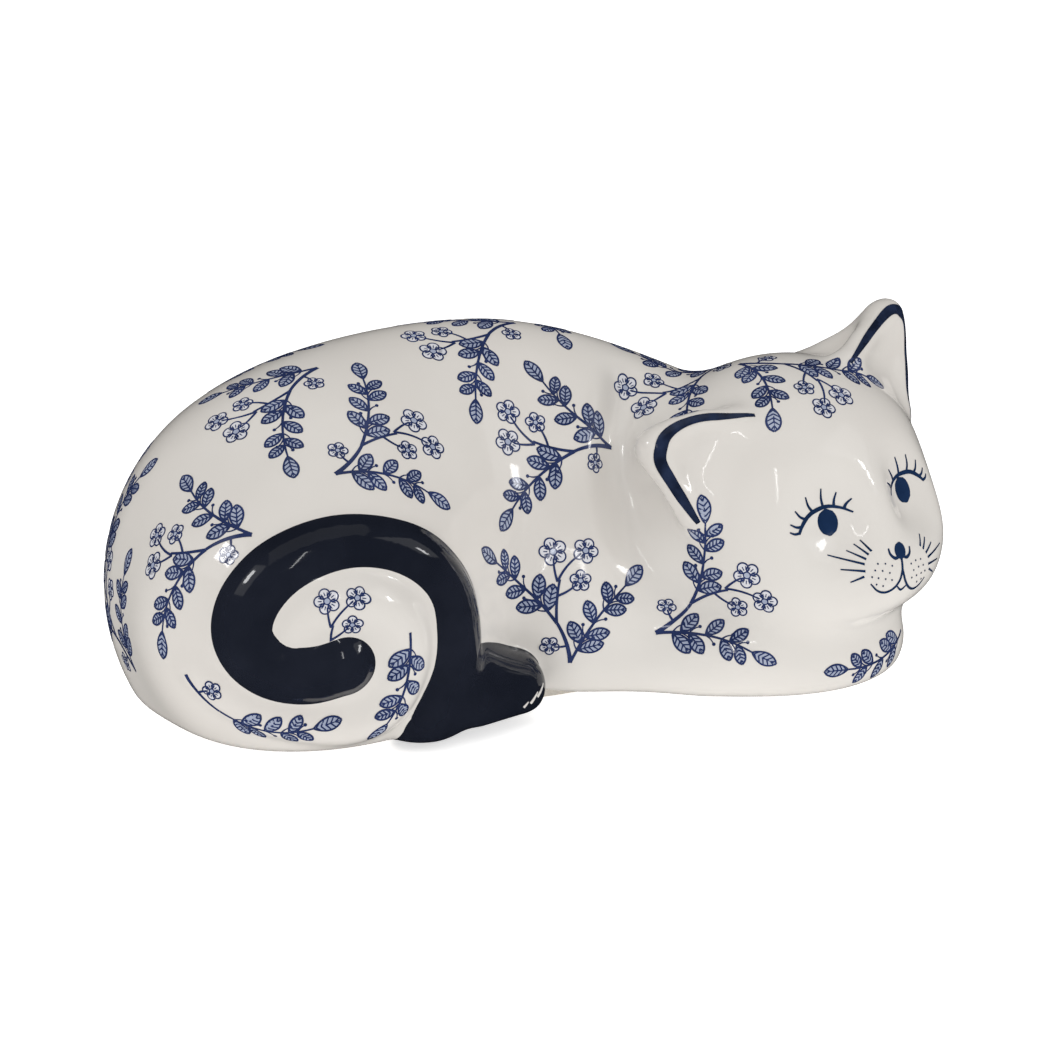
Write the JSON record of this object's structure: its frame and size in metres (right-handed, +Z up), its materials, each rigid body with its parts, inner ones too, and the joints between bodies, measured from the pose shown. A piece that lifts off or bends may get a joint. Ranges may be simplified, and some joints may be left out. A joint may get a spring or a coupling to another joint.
{
  "type": "ceramic cat figurine",
  "caption": "Glazed ceramic cat lying curled with its head turned aside and tail coiled on its haunch, white with blue flower sprigs and a navy tail.",
  "frame": {"origin": "centre of the figure's footprint box, on the surface it stands on", "axes": "+X from the rump to the head end, -Y to the cat's right side, +Z up"},
  "size_m": [0.3243, 0.1735, 0.139],
  "materials": {
    "white_glaze": "glossy clear glaze over white clay with blue printed sprigs",
    "navy_glaze": "glossy navy glaze, nearly black",
    "bare_clay": "unglazed fired white clay",
    "felt": "grey felt"
  },
  "bodies": {
    "root": {"torso": "white_glaze", "base_plate": "bare_clay", "head": "white_glaze", "left_ear": "white_glaze", "right_ear": "white_glaze", "left_foreleg": "white_glaze", "right_foreleg": "white_glaze", "thigh": "white_glaze", "hind_paw": "navy_glaze", "tail": "navy_glaze", "pad_rear_left": "felt", "pad_rear_right": "felt", "pad_front_left": "felt", "pad_front_right": "felt"}
  },
  "joints": []
}
